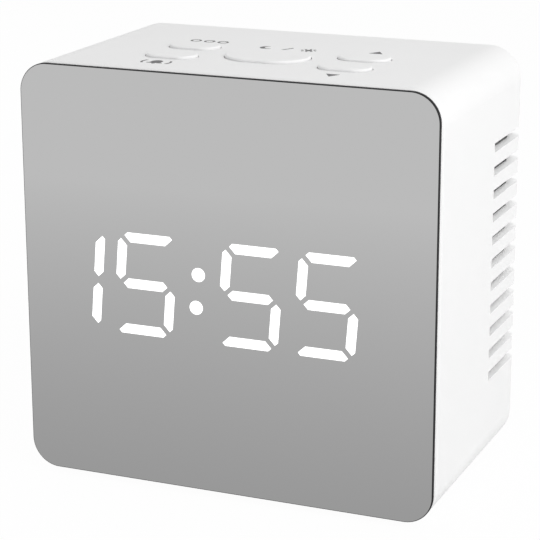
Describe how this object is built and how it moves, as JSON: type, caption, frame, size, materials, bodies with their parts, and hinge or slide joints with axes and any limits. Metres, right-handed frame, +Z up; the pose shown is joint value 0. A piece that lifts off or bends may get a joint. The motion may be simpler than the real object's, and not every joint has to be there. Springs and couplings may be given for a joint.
{
  "type": "mirror alarm clock",
  "caption": "Small free-standing digital alarm clock with a full half-mirror front over a lit seven-segment display, a rounded white case with vent slots, keys on top and a rear battery door.",
  "frame": {"origin": "middle of the clock's outline on the surface that its feet stand on", "axes": "+Z up, -Y out of the mirror, +X to the right of someone who looks at the mirror"},
  "size_m": [0.0804, 0.0494, 0.0796],
  "materials": {
    "mirror": "half-mirror plate, polished",
    "tape": "foam tape",
    "black_frame": "moulded",
    "white_case": "satin moulded",
    "white_key": "satin moulded",
    "switch_stud": "moulded",
    "switch_body": "moulded",
    "light_box": "moulded",
    "lit_bar": "milky, lit from behind",
    "dark_bar": "milky, not lit",
    "circuit_board": "lacquered",
    "lamp": "clear",
    "steel": "plated",
    "spring_steel": "nickel plated",
    "socket_metal": "tin plated",
    "capacitor_sleeve": "shrunk sleeve",
    "sensor_bead": "dipped",
    "grey_cable": "ribbon",
    "red_wire": "insulated",
    "black_wire": "insulated",
    "cell": "wrapped can, plain",
    "foot_pad": "soft pad"
  },
  "bodies": {
    "case": {"mirror_panel": "mirror", "mirror_tape": "tape", "front_frame": "black_frame", "housing": "white_case", "key_switches": "switch_body", "control_chip": "switch_body", "buzzer": "switch_body", "display_light_box": "light_box", "lit_segments": "lit_bar", "colon_dots": "lit_bar", "unlit_segments": "dark_bar", "display_board": "circuit_board", "key_board": "circuit_board", "power_board": "circuit_board", "display_leds": "lamp", "clock_crystal": "steel", "display_screws": "steel", "key_board_screws": "steel", "power_board_screws": "steel", "case_screws": "steel", "battery_contacts": "spring_steel", "battery_springs": "spring_steel", "power_inlet": "socket_metal", "capacitors": "capacitor_sleeve", "temperature_sensor": "sensor_bead", "key_cable": "grey_cable", "battery_wire_red": "red_wire", "battery_wire_black": "black_wire", "power_wires": "black_wire", "battery_cell_1": "cell", "battery_cell_2": "cell", "battery_cell_3": "cell", "battery_cell_4": "cell", "feet": "foot_pad"},
    "mode_key": {"mode_button": "white_key", "mode_plunger": "switch_stud"},
    "alarm_key": {"alarm_button": "white_key", "alarm_plunger": "switch_stud"},
    "snooze_key": {"snooze_button": "white_key", "snooze_plunger": "switch_stud"},
    "up_key": {"up_button": "white_key", "up_plunger": "switch_stud"},
    "down_key": {"down_button": "white_key", "down_plunger": "switch_stud"},
    "door": {"battery_door": "white_case"}
  },
  "joints": [
    {"name": "mode_press", "type": "slide", "parent": "case", "child": "mode_key", "axis": [0, 0, -1], "range_m": [0, 0.0005], "stiffness_N_per_m": 1000, "springref_m": -0.0006},
    {"name": "alarm_press", "type": "slide", "parent": "case", "child": "alarm_key", "axis": [0, 0, -1], "range_m": [0, 0.0005], "stiffness_N_per_m": 1000, "springref_m": -0.0006},
    {"name": "snooze_press", "type": "slide", "parent": "case", "child": "snooze_key", "axis": [0, 0, -1], "range_m": [0, 0.0005], "stiffness_N_per_m": 1000, "springref_m": -0.0006},
    {"name": "up_press", "type": "slide", "parent": "case", "child": "up_key", "axis": [0, 0, -1], "range_m": [0, 0.0005], "stiffness_N_per_m": 1000, "springref_m": -0.0006},
    {"name": "down_press", "type": "slide", "parent": "case", "child": "down_key", "axis": [0, 0, -1], "range_m": [0, 0.0005], "stiffness_N_per_m": 1000, "springref_m": -0.0006},
    {"name": "door_hinge", "type": "hinge", "parent": "case", "child": "door", "pos_m": [0, 0.02375, 0.0152], "axis": [-1, 0, 0], "range_deg": [0, 100]}
  ]
}
